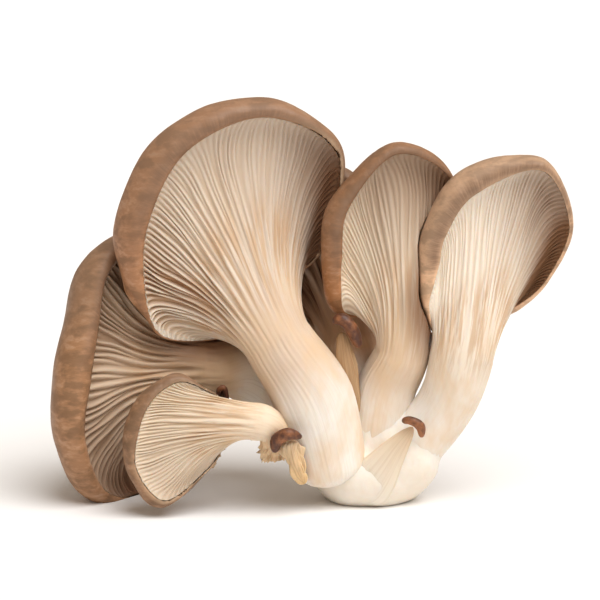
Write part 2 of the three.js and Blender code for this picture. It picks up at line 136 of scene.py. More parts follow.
MUSHROOMS = [
    Mushroom(
        name="large", seed=3, hub=(-12, 3, 65), yaw=15, pitch=-10,
        reach=(11.5, 21.5, 41, 46, 43, 36.5, 33, 32, 21.6, 15, 11, 10.5),
        lift=(1, 4, 2, 2, 3, 2, -4, -6),
        bulge=(1.2, 1.3, 1.6, 3, 4.6, 6.2, 7.4, 7.9, 5.4, 0.7, 0.5, 0.5, 0.5, 0.5, 0.5, 0.8),
        bowl=10, dome=20, stem=((10, -6, 6.5), (3.5, -8, 32), (-7.5, -6, 50)),
        radius=(9.6, 11.2, 9.8), flat=0.85, gill_start=0.62,
        gills=116, gill_rows=52, gill_depth=1.5, fade=0.42,
        relief=(0.9, 0.7, 0.5, 0.4, 0.36, 0.45, 0.6, 0.95, 1.3, 1, 0.5, 0.4, 0.4, 0.5, 0.6, 0.8),
        shade=(2, 1.1, 0.2, 0, 0, 0, 0.25, 1.5),
        torn=(0.5, 1, 0, 0, 0, 0, 0, 0),
        yields_to=("middle",),
        edge_colour=(0.67, 0.57, 0.47), groove_colour=(0.53, 0.38, 0.25),
        stem_colour=(0.65, 0.51, 0.395), foot_colour=(0.81, 0.76, 0.69),
        skin_colour=(0.37, 0.178, 0.083),
    ),
    Mushroom(
        name="right", seed=5, hub=(47.5, -5, 64.5), yaw=10, pitch=-8,
        reach=(21.5, 31, 36.3, 24.5, 15.5, 11, 11.2, 14, 17.5, 12, 13.5, 17),
        lift=(1, 2, 0, 1, 3, 2, -5, -4),
        bulge=(1.2, 2.2, 6, 5.3, 3.4, 0.9, 0.8, 2.5),
        bowl=8, dome=15, stem=((25, -1, 9), (40.3, -3, 28), (45.4, -6, 45)),
        radius=(9, 8.2, 9), flat=0.85, gill_start=0.64,
        gills=104, gill_rows=46, gill_depth=1.0, fade=0.3,
        relief=(0.9, 0.7, 0.4, 0.4, 0.5, 0.6, 0.8, 0.9),
        shade=(1.6, 0.8, 0.1, 0, 0, 0, 0.5, 1.5),
        edge_colour=(0.84, 0.76, 0.66), groove_colour=(0.76, 0.62, 0.46),
        stem_colour=(0.81, 0.71, 0.59), foot_colour=(0.83, 0.79, 0.73),
        skin_colour=(0.7, 0.44, 0.27),
    ),
    Mushroom(
        name="middle", seed=7, hub=(25.5, -1, 62.5), yaw=15, pitch=-8,
        reach=(9, 15, 33, 37.6, 26.4, 17, 14.8, 15, 11, 9, 8, 8.5),
        lift=(-1, 0, 0, 0, 1, -1, -7, -5),
        bulge=(1, 0.7, 2.6, 4.6, 4.2, 0.9, 0.8, 0.5),
        bowl=8, dome=14, stem=((21, 1, 8), (24, 1, 31), (29, -3, 46)),
        radius=(9, 8.8, 7.8), flat=0.9, gill_start=0.62,
        gills=84, gill_rows=46, gill_depth=1.2, fade=0.34,
        relief=(0.8, 0.7, 0.5, 0.5, 0.75, 0.85, 0.7, 0.7),
        shade=(0.7, 1.1, 0.65, 0.05, 0, 0.1, 0.2, 0.4),
        yields_to=("right",),
        edge_colour=(0.73, 0.62, 0.49), groove_colour=(0.56, 0.4, 0.26),
        stem_colour=(0.7, 0.56, 0.43), foot_colour=(0.83, 0.79, 0.73),
        skin_colour=(0.34, 0.145, 0.053),
    ),
    Mushroom(
        name="small", seed=11, hub=(-26, -16, 25.5), yaw=10, pitch=5,
        reach=(7, 7.5, 8.3, 9.8, 14.3, 16.5, 18.5, 22.5, 23.5, 12.3, 8.5, 7.5),
        lift=(-5, -2, 0, 0.5, 1, 0.5, 0, -2),
        bulge=(0.3, 0.3, 0.6, 2.9, 3.7, 2.8, 0.6, 0.3),
        bowl=4, dome=9, stem=((-7, -11, 15), (-7.5, -14, 24), (-15, -16, 27)),
        radius=(3.6, 4.6, 5.2), flat=0.85, gill_start=0.6,
        gills=80, gill_rows=40, gill_depth=1.0, fade=0.36,
        relief=(0.5, 0.6, 0.8, 0.9, 0.75, 0.45, 0.28, 0.35),
        shade=(0.3, 0, 0, 0, 0.1, 0.2, 0.5, 0.6),
        torn=(0, 0.6, 0.8, 0.2, 0, 0.3, 1, 0.9),
        ragged=1.6,
        edge_colour=(0.72, 0.61, 0.48), groove_colour=(0.58, 0.42, 0.27),
        stem_colour=(0.78, 0.64, 0.49), foot_colour=(0.66, 0.47, 0.29),
        skin_colour=(0.27, 0.143, 0.072),
    ),
    Mushroom(
        name="left", seed=13, hub=(-43, 12, 36.5), yaw=50, pitch=0,
        reach=(26, 27, 31.7, 35.6, 33.8, 25.7, 26, 32, 38, 37, 34, 29),
        lift=(0, 0, 0, 1, 2, 1, 0, 0),
        bulge=(3, 3, 4, 4.8, 6, 4.4, 1.5, 2),
        bowl=9, dome=21, stem=((10, 5, 13), (-13, 8, 35), (-27, 7, 38)),
        radius=(9, 9, 8.6), flat=1, gill_start=0.64,
        gills=88, gill_rows=48, gill_depth=1.9, fade=0.4,
        relief=(1.1, 1.1, 1, 0.9, 0.8, 0.8, 0.8, 0.9),
        shade=(0.5, 0.9, 0.6, 0.3, 0.1, 0.5, 1, 0.7),
        yields_to=("large", "small"),
        # flesh colours darker than the other heads': painted shade, as this head lies behind the large and
        # small ones
        edge_colour=(0.63, 0.49, 0.36), groove_colour=(0.42, 0.27, 0.165),
        stem_colour=(0.6, 0.42, 0.27), foot_colour=(0.82, 0.77, 0.69),
        skin_colour=(0.335, 0.17, 0.08),
    ),
    Mushroom(
        name="rear", seed=17, hub=(10, 20, 54.5), yaw=0, pitch=-6,
        reach=(14, 19, 27, 36, 34, 24, 17, 13, 11, 9.5, 10, 12),
        lift=(0, 0, 0, 0, 0, -2, -6, -4),
        bulge=(2, 2, 3, 3, 3, 2, 1, 1),
        bowl=6, dome=13, stem=((16, 9, 10), (15.5, 12, 35), (13.5, 15, 45)),
        radius=(8.5, 8.5, 8.5), flat=1, gill_start=0.6,
        gills=40, gill_rows=30, gill_depth=1.4, fade=0.4,
        yields_to=("large", "middle", "right"),
        # dark flesh and skin colours: painted shade, as this head lies in shadow behind the others
        edge_colour=(0.46, 0.3, 0.2), groove_colour=(0.22, 0.12, 0.065),
        stem_colour=(0.62, 0.39, 0.24), foot_colour=(0.82, 0.77, 0.69),
        skin_colour=(0.24, 0.11, 0.05),
    ),
]

# The butt's lobes: the middle of each and its half sizes, mm.
BUTT_LOBES = [
    ((20, 3, 8.5), (18, 15, 11)),
    ((28.5, 0, 13), (11, 11.5, 11.5)),
    ((15, 6, 13), (12, 12, 11)),
]


@dataclass
class Pin:
    """A young mushroom that stayed small: the lines of its stem and its curled cap, mm."""

    name: str
    stem: tuple
    stem_radius: tuple
    stem_flat: float  # thickness of the stem, to its width
    frayed: float  # how frayed the stem is, to its thickness
    cap: tuple
    cap_radius: tuple
    foot_colour: tuple
    neck_colour: tuple
    seed: int


PINS = [
    Pin(
        name="between_stems", seed=21,
        stem=((16.3, -3.6, 24), (14.6, -4.5, 31), (12.9, -5, 40), (11.6, -5, 50)),
        stem_radius=(0.9, 2.6, 2.9, 1.8), stem_flat=0.6, frayed=0.16,
        cap=((9.2, -6, 53.2), (11.9, -7.2, 53.6), (14.4, -7.4, 51), (16.6, -6, 45.6)),
        cap_radius=(1.6, 1.8, 1.8, 1.5),
        foot_colour=(0.47, 0.31, 0.17), neck_colour=(0.42, 0.26, 0.135),
    ),
    Pin(
        name="on_butt", seed=22,
        stem=((16.5, -6.6, 2.6), (22, -9.9, 10.8), (26.9, -11.3, 18.4), (31.4, -12.4, 24.4)),
        stem_radius=(7.6, 6, 3.4, 1.3), stem_flat=0.36, frayed=0.04,
        cap=((28.3, -13, 26.3), (30.6, -14.2, 26.6), (33.2, -14.2, 25), (33.8, -13.2, 21.6)),
        cap_radius=(1.05, 1.2, 1.35, 1.05),
        foot_colour=(0.8, 0.74, 0.64), neck_colour=(0.68, 0.52, 0.35),
    ),
    Pin(
        name="at_foot", seed=23,
        stem=((1.2, -14.6, 8.6), (-0.6, -16.4, 13.4), (-2, -17.4, 18.4), (-2.4, -17.6, 22)),
        stem_radius=(1.3, 2.3, 2.8, 2), stem_flat=0.7, frayed=0.5,
        cap=((-7, -18, 18.4), (-6.3, -19, 22.2), (-3.2, -20, 24.1), (0.6, -19, 23)),
        cap_radius=(1.2, 1.9, 1.8, 1),
        foot_colour=(0.7, 0.48, 0.24), neck_colour=(0.66, 0.5, 0.33),
    ),
    Pin(
        name="on_left_stem", seed=24,
        stem=((-21.7, -2, 28.6), (-21.7, -3.6, 31), (-21.5, -4.4, 33.4)),
        stem_radius=(0.9, 1, 0.6), stem_flat=0.5, frayed=0.1,
        cap=((-23, -4.2, 30.2), (-22.6, -5, 33.4), (-21.1, -5, 33.6), (-20, -4.4, 29.2)),
        cap_radius=(0.5, 0.75, 0.75, 0.5),
        # near-black stem: painted shade standing for the dark hollow of this slit-like pin
        foot_colour=(0.1, 0.05, 0.03), neck_colour=(0.07, 0.035, 0.02),
    ),
]


# Sums on many points at once


def smoothstep(low, high, x):
    """0 below low, 1 above high and a smooth climb between them."""
    s = np.clip((x - low) / (high - low), 0, 1)
    return s * s * (3 - 2 * s)


def unit(vectors):
    """The same vectors, each one long."""
    return vectors / np.maximum(np.linalg.norm(vectors, axis=-1, keepdims=True), 1e-12)


def net_of(rows, around):
    """A value for each row, as wide as the columns round a turn."""
    return np.asarray(rows, float)[:, None] + 0 * around


def round_turn(values, angle):
    """A value given at even steps round a turn, at angles between them."""
    given = np.asarray(values, float)
    place = (np.asarray(angle) / TURN) % 1 * len(given)
    i = np.floor(place).astype(int)
    s = smoothstep(0, 1, place - i)
    return given[i % len(given)] * (1 - s) + given[(i + 1) % len(given)] * s


def along_curve(points, place, closed):
    """Points on the smooth curve through the given ones, at places counted in points."""
    given = np.asarray(points, float)
    count = len(given)
    if closed:
        i = np.floor(place).astype(int)
        before, here, after, later = (given[(i + k) % count] for k in (-1, 0, 1, 2))
    else:
        ends = (2 * given[0] - given[1], 2 * given[-1] - given[-2])
        padded = np.vstack([ends[0], given, ends[1]])
        i = np.clip(np.floor(place).astype(int), 0, count - 2)
        before, here, after, later = (padded[i + k] for k in (0, 1, 2, 3))
    s = (place - i)[..., None]
    return (
        (2 * s**3 - 3 * s**2 + 1) * here
        + (s**3 - 2 * s**2 + s) * (after - before) / 2
        + (3 * s**2 - 2 * s**3) * after
        + (s**3 - s**2) * (later - here) / 2
    )


def bezier(a, b, c, d, t):
    """A cubic curve from a to d, drawn to b and c."""
    s = 1 - t
    return a * s**3 + b * (3 * s * s * t) + c * (3 * s * t * t) + d * t**3


def lattice_noise(around, along, cells_around, cells_along, seed):
    """Smooth noise from -1 to 1 that closes on itself round the turn."""
    rng = np.random.default_rng(seed)
    lattice = rng.uniform(-1, 1, (cells_around, cells_along + 2))
    x = (around % 1) * cells_around
    y = np.clip(along, 0, 1) * cells_along
    i = np.floor(x).astype(int)
    j = np.floor(y).astype(int)
    s = smoothstep(0, 1, x - i)
    t = smoothstep(0, 1, y - j)
    here = lattice[i % cells_around, j] * (1 - s) + lattice[(i + 1) % cells_around, j] * s
    above = lattice[i % cells_around, j + 1] * (1 - s) + lattice[(i + 1) % cells_around, j + 1] * s
    return here * (1 - t) + above * t


def lie_of(around, along):
    """The vector that grain follows: round the turn, and along it half as fast."""
    turned = around * TURN
    return np.stack([np.cos(turned), np.sin(turned), along * 0.5], axis=-1)


def turned_to(place, normal, outward):
    """Normals that all point to the same side as outward does at the given place."""
    return normal if np.dot(normal[place], outward) > 0 else -normal


def surface_normals(points):
    """Unit normals of a net of points, closed round its second way."""
    around = np.roll(points, -1, axis=1) - np.roll(points, 1, axis=1)
    along = np.gradient(points, axis=0)
    return unit(np.cross(around, along))


# The plan of a mushroom


class Stem:
    """A stem's centre line, its directions and its surface, at shares of the way to the hub."""

    def __init__(self, m, wider=0.0):
        self.m = m
        self.points = (*m.stem, m.hub)
        self.out = facing(m)[0]
        self.wider = wider

    def centre(self, t):
        return along_curve(self.points, np.asarray(t, float) * (len(self.points) - 1), False)

    def radius(self, t):
        s = np.minimum(np.asarray(t, float) / self.m.gill_start, 1)
        return np.interp(s, (0, 0.5, 1), self.m.radius) + self.wider

    def directions(self, t):
        step = 1e-4
        along = unit(self.centre(t + step) - self.centre(t - step))
        front = unit(self.out - along * (along @ self.out)[..., None])
        return along, front, np.cross(along, front)

    def surface(self, t, turn_cos, turn_sin):
        _, front, side = self.directions(t)
        r = self.radius(t)[..., None]
        across = front * (r * self.m.flat) * turn_cos[..., None]
        return self.centre(t) + across + side * r * turn_sin[..., None]


def facing(m):
    """The directions of a cap: out of its gills, to its right and up."""
    yaw, pitch = math.radians(m.yaw), math.radians(m.pitch)
    out = np.array(
        [math.sin(yaw) * math.cos(pitch), -math.cos(yaw) * math.cos(pitch), math.sin(pitch)]
    )
    right = np.array([math.cos(yaw), math.sin(yaw), 0])
    return out, right, np.cross(out, right)


class Spokes:
    """What every point of the rim settles: where its gill roots on the stem, and the curves of
    the gills' edges, of the flesh above them and of the cap's outside."""

    def __init__(self, m, wider=0.0):
        self.m = m
        self.out, right, up = facing(m)
        angles = np.arange(len(m.reach)) * TURN / len(m.reach)
        reach = np.asarray(m.reach, float) + wider
        points = (
            np.asarray(m.hub, float)
            + right * (reach * np.cos(angles))[:, None]
            + up * (reach * np.sin(angles))[:, None]
            + self.out * (round_turn(m.lift, angles) + wider)[:, None]
        )
        rough = along_curve(points, np.arange(RIM_STEPS * 2) * len(points) / (RIM_STEPS * 2), True)
        steps = np.linalg.norm(np.roll(rough, -1, axis=0) - rough, axis=1)
        length = np.concatenate([[0], np.cumsum(steps)])
        even = np.arange(RIM_STEPS) * length[-1] / RIM_STEPS
        closed = np.vstack([rough, rough[:1]])
        rim = np.stack([np.interp(even, length, closed[:, k]) for k in range(3)], axis=1)
        self.rim = rim
        self.middle = rim.mean(axis=0)
        self.dome = m.dome + 2 * wider

        self.stem = Stem(m, wider)
        start = np.array(m.gill_start)
        self.along, front, side = self.stem.directions(start)
        from_hub = rim - np.asarray(m.hub, float)
        turn = np.arctan2(from_hub @ side, from_hub @ front + LEAN * (from_hub @ self.along))
        self.turn_cos, self.turn_sin = np.cos(turn), np.sin(turn)
        from_middle = rim - self.middle
        radial = from_middle - self.out * (from_middle @ self.out)[:, None]
        self.reach = np.linalg.norm(radial, axis=1)
        self.radial = unit(radial)
        self.root = self.stem.surface(np.full(RIM_STEPS, m.gill_start), self.turn_cos, self.turn_sin)
        self.span = np.linalg.norm(self.root - rim, axis=1)
        self.bowl = m.bowl * smoothstep(FLAT_SPAN, BOWED_SPAN, self.span)
        heading = np.arctan2(from_hub @ up, from_hub @ right)
        self.bulge = round_turn(m.bulge, heading)
        self.relief = round_turn(m.relief, heading)
        self.shade = round_turn(m.shade, heading)
        self.torn = round_turn(m.torn, heading)
        self.height = np.sin(heading)

    def at(self, values, around):
        """One of the spokes' values, at shares of a turn round the rim."""
        place = (around % 1) * RIM_STEPS
        i = np.floor(place).astype(int)
        s = place - i
        if values.ndim == 2:
            s = s[..., None]
        return values[i % RIM_STEPS] * (1 - s) + values[(i + 1) % RIM_STEPS] * s

    def stem_surface(self, around, t, roundness):
        """The stem, at shares of a turn and of the way to the hub."""
        turn_cos = self.at(self.turn_cos, around)
        turn_sin = self.at(self.turn_sin, around)
        long = np.maximum(np.hypot(turn_cos, turn_sin), 1e-9)
        return self.stem.surface(t, roundness * turn_cos / long, roundness * turn_sin / long)

    def gill_edge(self, around, w):
        """The gills' edges, from the stem at 0 to the rim at 1."""
        rise = self.root + self.along * (GILL_RISE * self.span)[:, None]
        turn_in = self.rim - self.out * self.bowl[:, None]
        turn_in = turn_in - self.radial * (RIM_TURN * self.span)[:, None]
        ends = [self.at(values, around) for values in (self.root, rise, turn_in, self.rim)]
        return bezier(*ends, w[..., None])

    def under(self, around, q, deeper, wider):
        """The surface between the flesh and the cap, from the rim at 0 to the middle at 1."""
        radial = self.at(self.radial, around)
        start = self.at(self.rim, around) - self.out * (RIM_EDGE + deeper) + radial * wider
        top = self.middle + self.out * (CAP_FLESH - self.dome - deeper)
        over = start + self.out * (FLESH_ARCH * (CAP_FLESH - self.dome))
        beside = top + radial * (FLESH_CROWN * self.at(self.reach, around))[..., None]
        return bezier(start, over, beside, top + 0 * radial, q[..., None])

    def girth(self, around):
        """The widest line round the margin, and its depth behind the lip."""
        bulge = self.at(self.bulge, around)[..., None]
        depth = GIRTH_DEPTH * bulge + LIP_THICK
        radial = self.at(self.radial, around)
        return self.at(self.rim, around) + radial * (LIP_GAP + bulge) - self.out * depth, depth

    def margin(self, around, q):
        """The rolled margin, from the lip at 0 to its widest line at 1."""
        bulge = self.at(self.bulge, around)[..., None]
        radial = self.at(self.radial, around)
        lip = self.at(self.rim, around) + radial * LIP_GAP + self.out * LIP_FORWARD
        widest, depth = self.girth(around)
        forward = lip + radial * (MARGIN_OUT * bulge) + self.out * (MARGIN_FORWARD * bulge)
        return bezier(lip, forward, widest + self.out * (MARGIN_BACK * depth), widest, q[..., None])

    def over(self, around, q):
        """The cap's back, from its widest line at 0 to the crown at 1."""
        radial = self.at(self.radial, around)
        widest, depth = self.girth(around)
        crown = self.middle - self.out * self.dome
        wide = (self.at(self.reach, around) + self.at(self.bulge, around))[..., None]
        arch = widest + self.out * (DOME_ARCH * (depth - self.dome))
        return bezier(widest, arch, crown + radial * (DOME_CROWN * wide), crown + 0 * radial, q[..., None])


# Meshes from nets of points


def linked(name, data):
    """A new object in the scene."""
    made = bpy.data.objects.new(name, data)
    bpy.context.scene.collection.objects.link(made)
    return made


def mesh_from(bm, name):
    """A new mesh from a bmesh, which is freed."""
    mesh = bpy.data.meshes.new(name)
    bm.to_mesh(mesh)
    bm.free()
    return mesh


def woven(name, points, marks=None):
    """A closed object from a net of points in mm, rows from one pole to the other, with the
    marks that its material reads. The net starts as a grid whose points are then moved."""
    rows, columns = points.shape[0], points.shape[1]
    bm = bmesh.new()
    bmesh.ops.create_grid(bm, x_segments=columns, y_segments=rows - 1, size=0.5)
    mesh = mesh_from(bm, name)
    flat = np.empty(len(mesh.vertices) * 3)
    mesh.vertices.foreach_get("co", flat)
    column = np.rint((flat[0::3] + 0.5) * columns).astype(int) % columns
    row = np.rint((flat[1::3] + 0.5) * (rows - 1)).astype(int)
    placed = (points - BOX_MIDDLE) * MM
    placed[..., 2] = np.maximum(placed[..., 2], 0)
    mesh.vertices.foreach_set("co", placed[row, column].ravel())
    for mark, values in (marks or {}).items():
        kind, key = ("FLOAT_VECTOR", "vector") if values.ndim == 3 else ("FLOAT", "value")
        layer = mesh.attributes.new(mark, kind, "POINT")
        layer.data.foreach_set(key, values[row, column].astype(np.float32).ravel())
    bm = bmesh.new()
    bm.from_mesh(mesh)
    bmesh.ops.remove_doubles(bm, verts=bm.verts, dist=1e-8)
    bmesh.ops.recalc_face_normals(bm, faces=bm.faces)
    bm.to_mesh(mesh)
    bm.free()
    mesh.shade_smooth()
    return linked(name, mesh)


def settle(piece, node, material):
    """A finished piece: what it stands for, what it rides on and what it is made of."""
    piece.data.materials.clear()
    piece.data.materials.append(material)
    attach(piece, "root")
    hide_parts(node)


def applied(piece):
    """The piece with its modifiers made part of its mesh."""
    depsgraph = bpy.context.evaluated_depsgraph_get()
    made = bpy.data.meshes.new_from_object(piece.evaluated_get(depsgraph))
    old = piece.data
    piece.modifiers.clear()
    piece.data = made
    bpy.data.meshes.remove(old)
    return piece


def head_room(m):
    """The closed room that a head takes, from where its gills start to its crown."""
    spokes = Spokes(m, HEAD_CLEARANCE)
    columns = 120
    around = np.arange(columns)[None, :] / columns
    start = spokes.stem.centre(np.array(m.gill_start))
    pole = np.broadcast_to(start, (1, columns, 3))
    gills = spokes.gill_edge(around, net_of(np.linspace(0, 0.96, 12), around))
    rim = spokes.margin(around, net_of((0, 0.4, 0.8), around))
    back = spokes.over(around, net_of(np.linspace(0, 1, 10), around))
    return woven(f"room_of_{m.name}", np.concatenate([pole, gills, rim, back]))


def cleared(piece, m, rooms):
    """Cuts a piece back where a neighbour's head needs the room."""
    for name in m.yields_to:
        cut = piece.modifiers.new(name, "BOOLEAN")
        cut.operation = "DIFFERENCE"
        cut.solver = "MANIFOLD"
        cut.object = rooms[name]
    return applied(piece) if m.yields_to else piece


def paint_rim_shadow(piece, m):
    """Marks painted shadow: how near each point lies to the rims of the heads in front of it."""
    rims = [Spokes(other).rim for other in MUSHROOMS if other.name in m.yields_to]
    mark = piece.data.attributes.new("rim_shadow", "FLOAT", "POINT")
    if not rims:
        return
    points = (np.concatenate(rims) - BOX_MIDDLE) * MM
    tree = KDTree(len(points))
    for i, point in enumerate(points):
        tree.insert(point, i)
    tree.balance()
    reach = np.array([tree.find(vertex.co)[2] for vertex in piece.data.vertices])
    near = 1 - smoothstep(*RIM_SHADOW_REACH, reach / MM)
    mark.data.foreach_set("value", near.astype(np.float32))


# Flesh with gills


FOOT = 0.07  # share of the way to the hub over which a foot is rounded
FOOT_ROWS = (0, 0.004, 0.012, 0.026, 0.045, FOOT)
STEM_ROWS = 15
BACK_ROWS = (0, 0.3, 0.6, 0.85, 1)
NARROWED = 0.35  # how much lower than the rest the lowest gill stands, to its depth
STEM_RIB = 0.07  # depth of the ribs that run down the stem, to the gills' depth
SHALLOW = 0.2  # depth of a plain gill, to a pleated one
RUFFLE = 0.22  # how far a gill's edge wavers, mm
TATTER = 0.5  # how deep a torn rim is cut, mm
GRAIN = 0.07  # height of the stem's grain, mm
LUMPS = 0.35  # height of the stem's lumps, mm


def blade_heights(m, around, w, sizes):
    """How high each point stands between a groove's bottom at 0 and a gill's edge at 1. Every
    fourth gill reaches the stem, those between start further out, and all of them narrow as
    their neighbours join in."""
    rng = np.random.default_rng(m.seed)
    place = around * m.gills
    halves, quarters = smoothstep(0.12, 0.45, w), smoothstep(0.4, 0.8, w)
    heights = np.zeros_like(w)
    kinds = (
        (0, 4, -1.0, -0.8, 2 - halves - 0.5 * quarters),
        (2, 4, 0.08, 0.36, 1 - 0.5 * quarters),
        (1, 2, 0.36, 0.72, 0.5),
    )
    for first, step, low, high, reach in kinds:
        nearest = np.rint((place - first) / step) * step + first
        index = nearest.astype(int) % m.gills
        starts = rng.uniform(low, high, m.gills)[index]
        tall = 1 - rng.uniform(0, NARROWED, m.gills)[index] * smoothstep(0, 0.3, w)
        awake = smoothstep(starts - 0.05, starts + 0.25, w) * tall
        slope = smoothstep(sizes.gill_crest, 1, np.abs(place - nearest) / reach)
        heights = np.maximum(heights, awake * (1 - slope))
    return heights


def swayed(m, count, w):
    """Shares of a turn for the gills' columns, each gill and each bunch of them swaying."""
    rng = np.random.default_rng(m.seed + 100)
    column = np.arange(count)[None, :] / PER_GILL
    drift = rng.uniform(-DRIFT, DRIFT, (5, m.gills))
    place = w[:, :1] * 4
    i = np.clip(np.floor(place).astype(int), 0, 3)
    s = smoothstep(0, 1, place - i)
    k = np.floor(column).astype(int)
    share = column - k
    here = drift[i, k % m.gills] * (1 - s) + drift[i + 1, k % m.gills] * s
    after = drift[i, (k + 1) % m.gills] * (1 - s) + drift[i + 1, (k + 1) % m.gills] * s
    bunch = lattice_noise(column / m.gills + 0 * w, w, 11, 3, m.seed + 101) * CURL
    return (column + here * (1 - share) + after * share + bunch) / m.gills


def gilled_flesh(m, sizes):
    """Stem and gills in one skin: up the stem, out along the gills to the rim, and back over
    the flesh to the middle of the cap."""
    spokes = Spokes(m)
    count = m.gills * PER_GILL
    straight = np.arange(count)[None, :] / count

    t = net_of([*FOOT_ROWS, *np.linspace(0.1, m.gill_start * 0.985, STEM_ROWS)], straight)
    rounded = np.sqrt(np.maximum(1 - (1 - np.minimum(t / FOOT, 1)) ** 2, 0))
    stem = spokes.stem_surface(straight, t, rounded)

    w = net_of(np.linspace(0, 1, m.gill_rows), straight)
    calm = smoothstep(0, 0.25, w)
    sway = swayed(m, count, w) * calm + straight * (1 - calm)
    gills = spokes.gill_edge(sway, w)

    q = net_of(BACK_ROWS, straight)
    back = spokes.under(straight, q, 0, 0)

    net = np.concatenate([stem, gills, back])
    ringed = len(stem) // 2
    outward = net[ringed, 0] - spokes.stem.centre(t[ringed, 0])
    normals = turned_to((ringed, 0), surface_normals(net), outward)

    heights = blade_heights(m, straight, w, sizes)
    blotches = lattice_noise(straight, w, 26, 6, m.seed + 4)
    risen = smoothstep(0.02, m.fade, w + 0.13 * blotches)
    pleated = smoothstep(PLAIN_GILL, PLEATED_GILL, spokes.at(spokes.span, straight))
    whole = SHALLOW + (1 - SHALLOW) * pleated
    near_rim = 0.12 + 5 * (1 - w)
    depth = m.gill_depth * spokes.at(spokes.relief, straight) * whole
    depth = depth * (STEM_RIB + (1 - STEM_RIB) * risen) * np.minimum(1, near_rim)
    ruffle = lattice_noise(sway, w, m.gills, 9, m.seed + 1) * RUFFLE * risen
    tatters = lattice_noise(straight, w, 150, 30, m.seed + 5) * smoothstep(0.86, 0.97, w)
    fall = depth * (1 - heights) + ruffle * heights * whole
    fall = fall + TATTER * np.abs(tatters) * spokes.at(spokes.torn, straight)

    ribs = blade_heights(m, straight, 0 * t, sizes)
    low = smoothstep(0.4 * m.gill_start, m.gill_start, t)
    grain = lattice_noise(straight, t, 70, 5, m.seed + 2)
    lumps = lattice_noise(straight, t, 9, 6, m.seed + 3)
    tears = lattice_noise(straight, t * 5, 34, 9, m.seed + 6) * (1 - smoothstep(0.08, 0.2, t))
    sunk = STEM_RIB * m.gill_depth * low**2 * (1 - ribs) + (GRAIN * grain + LUMPS * lumps) * rounded
    sunk = sunk + m.ragged * tears * rounded

    drop = np.concatenate([sunk, fall, np.zeros_like(q)])
    net = net - normals * drop[..., None]

    around = np.concatenate([straight + 0 * t, sway, straight + 0 * q])
    along = np.concatenate([t / m.gill_start - 1, w, np.ones_like(q)])
    # painted shade in the grooves: ridge sets how far each point takes the darker groove colour, more
    # where the gills are cut deep
    cut = np.minimum(1, 0.2 + 0.8 * spokes.at(spokes.relief, sway))
    contrast = np.concatenate([0.1 * low, (0.1 + 0.9 * risen) * cut, np.zeros_like(q)])
    high = np.concatenate([ribs, heights, np.ones_like(q)])
    ridge = 1 - (1 - high) * contrast
    # painted shade: the gills darken towards the rim where they face away from the light
    shade = np.minimum(1, spokes.at(spokes.shade, around) * smoothstep(0.15, 0.85, along))
    deep = np.concatenate([0 * t, spokes.at(spokes.relief, sway), 0 * q])
    marks = {"along": along, "ridge": ridge, "shade": shade, "deep": deep}
    return woven(f"flesh_{m.name}", net, {**marks, "lie": lie_of(around, along)})


# Cap skin


SKIN_COLUMNS = 240
LINING_ROWS = (1, 0.7, 0.35, 0)
MARGIN_ROWS = 12
DOME_ROWS = 34
WAVES = 0.45  # height of the skin's soft waves, and of those along its edge, mm
SKIN_TATTER = 0.9  # how deep the skin of a torn rim is cut, mm
LOW_BULGE = 3  # a margin that bulges less has a smoother skin, mm


def cap_skin(m, sizes):
    """The brown cap: its lining, the rolled margin and the back. The skin is wrinkled behind
    the lip along the top, and lies in soft waves elsewhere."""
    spokes = Spokes(m)
    around = np.arange(SKIN_COLUMNS)[None, :] / SKIN_COLUMNS
    inner = net_of(LINING_ROWS, around)
    lining = spokes.under(around, inner, LINING_GAP, LIP_GAP)
    q = net_of(np.linspace(0, 0.9, MARGIN_ROWS), around)
    margin = spokes.margin(around, q)
    p = net_of(np.linspace(0, 1, DOME_ROWS) ** 1.15, around)
    over = spokes.over(around, p)
    net = np.concatenate([lining, margin, over])
    last = len(net) - 3
    normals = turned_to((last, 0), surface_normals(net), -spokes.out)

    along = np.concatenate([0 * inner - 0.05, 0.25 * q, 0.25 + 0.75 * p])
    outer = smoothstep(0, 0.06, along) * (1 - smoothstep(0.8, 1, along))
    behind_lip = smoothstep(0.0, 0.03, along) * (1 - smoothstep(0.05, 0.15, along))
    wrinkled = behind_lip * smoothstep(-0.1, 0.7, spokes.at(spokes.height, around))
    creases = lattice_noise(around, along, 110, 5, m.seed + 31) * sizes.skin_creases / MM
    wrinkles = lattice_noise(around, along, 120, 14, m.seed + 34) * sizes.skin_wrinkles / MM
    waves = lattice_noise(around, along, 14, 4, m.seed + 32) * WAVES
    edge = lattice_noise(around, 0 * along, 46, 1, m.seed + 33) * WAVES
    torn = spokes.at(spokes.torn, around) * (1 - smoothstep(0.02, 0.1, along)) * (along >= 0)
    tatters = lattice_noise(around, along * 4, 120, 6, m.seed + 35) * torn * SKIN_TATTER
    low = np.minimum(1, spokes.at(spokes.bulge, around) / LOW_BULGE)
    relief = outer * (creases + waves) * low + edge * low * smoothstep(0.2, 0, along) * outer
    net = net + normals * (relief + wrinkles * wrinkled * low - np.abs(tatters))[..., None]
    # top mark: how far a greyer, darker tone is laid along the top of the cap, partly the skin's own tone
    # and partly painted shade
    top = smoothstep(0.1, 0.9, spokes.at(spokes.height, around)) + 0 * along
    marks = {"along": along, "wrinkled": wrinkled, "torn": torn, "top": top}
    return woven(f"cap_skin_{m.name}", net, {**marks, "lie": lie_of(around + 0 * along, along)})


# Butt and pins


JOINED_STEMS = ("right", "middle", "left", "rear")  # whose starts are part of the butt
STEM_SPAN = (0.02, 0.3)  # the part of a stem's way to the hub that they take
BUTT_OVER = 0.35  # how far the butt's flesh stands over a stem, mm
BUTT_THINS = 1.3  # how much it loses on the way up, mm
VOXEL = 0.6  # mm
ROUGH_LOW, ROUGH_HIGH = 11, 24  # heights between which the butt's lumps fade, mm


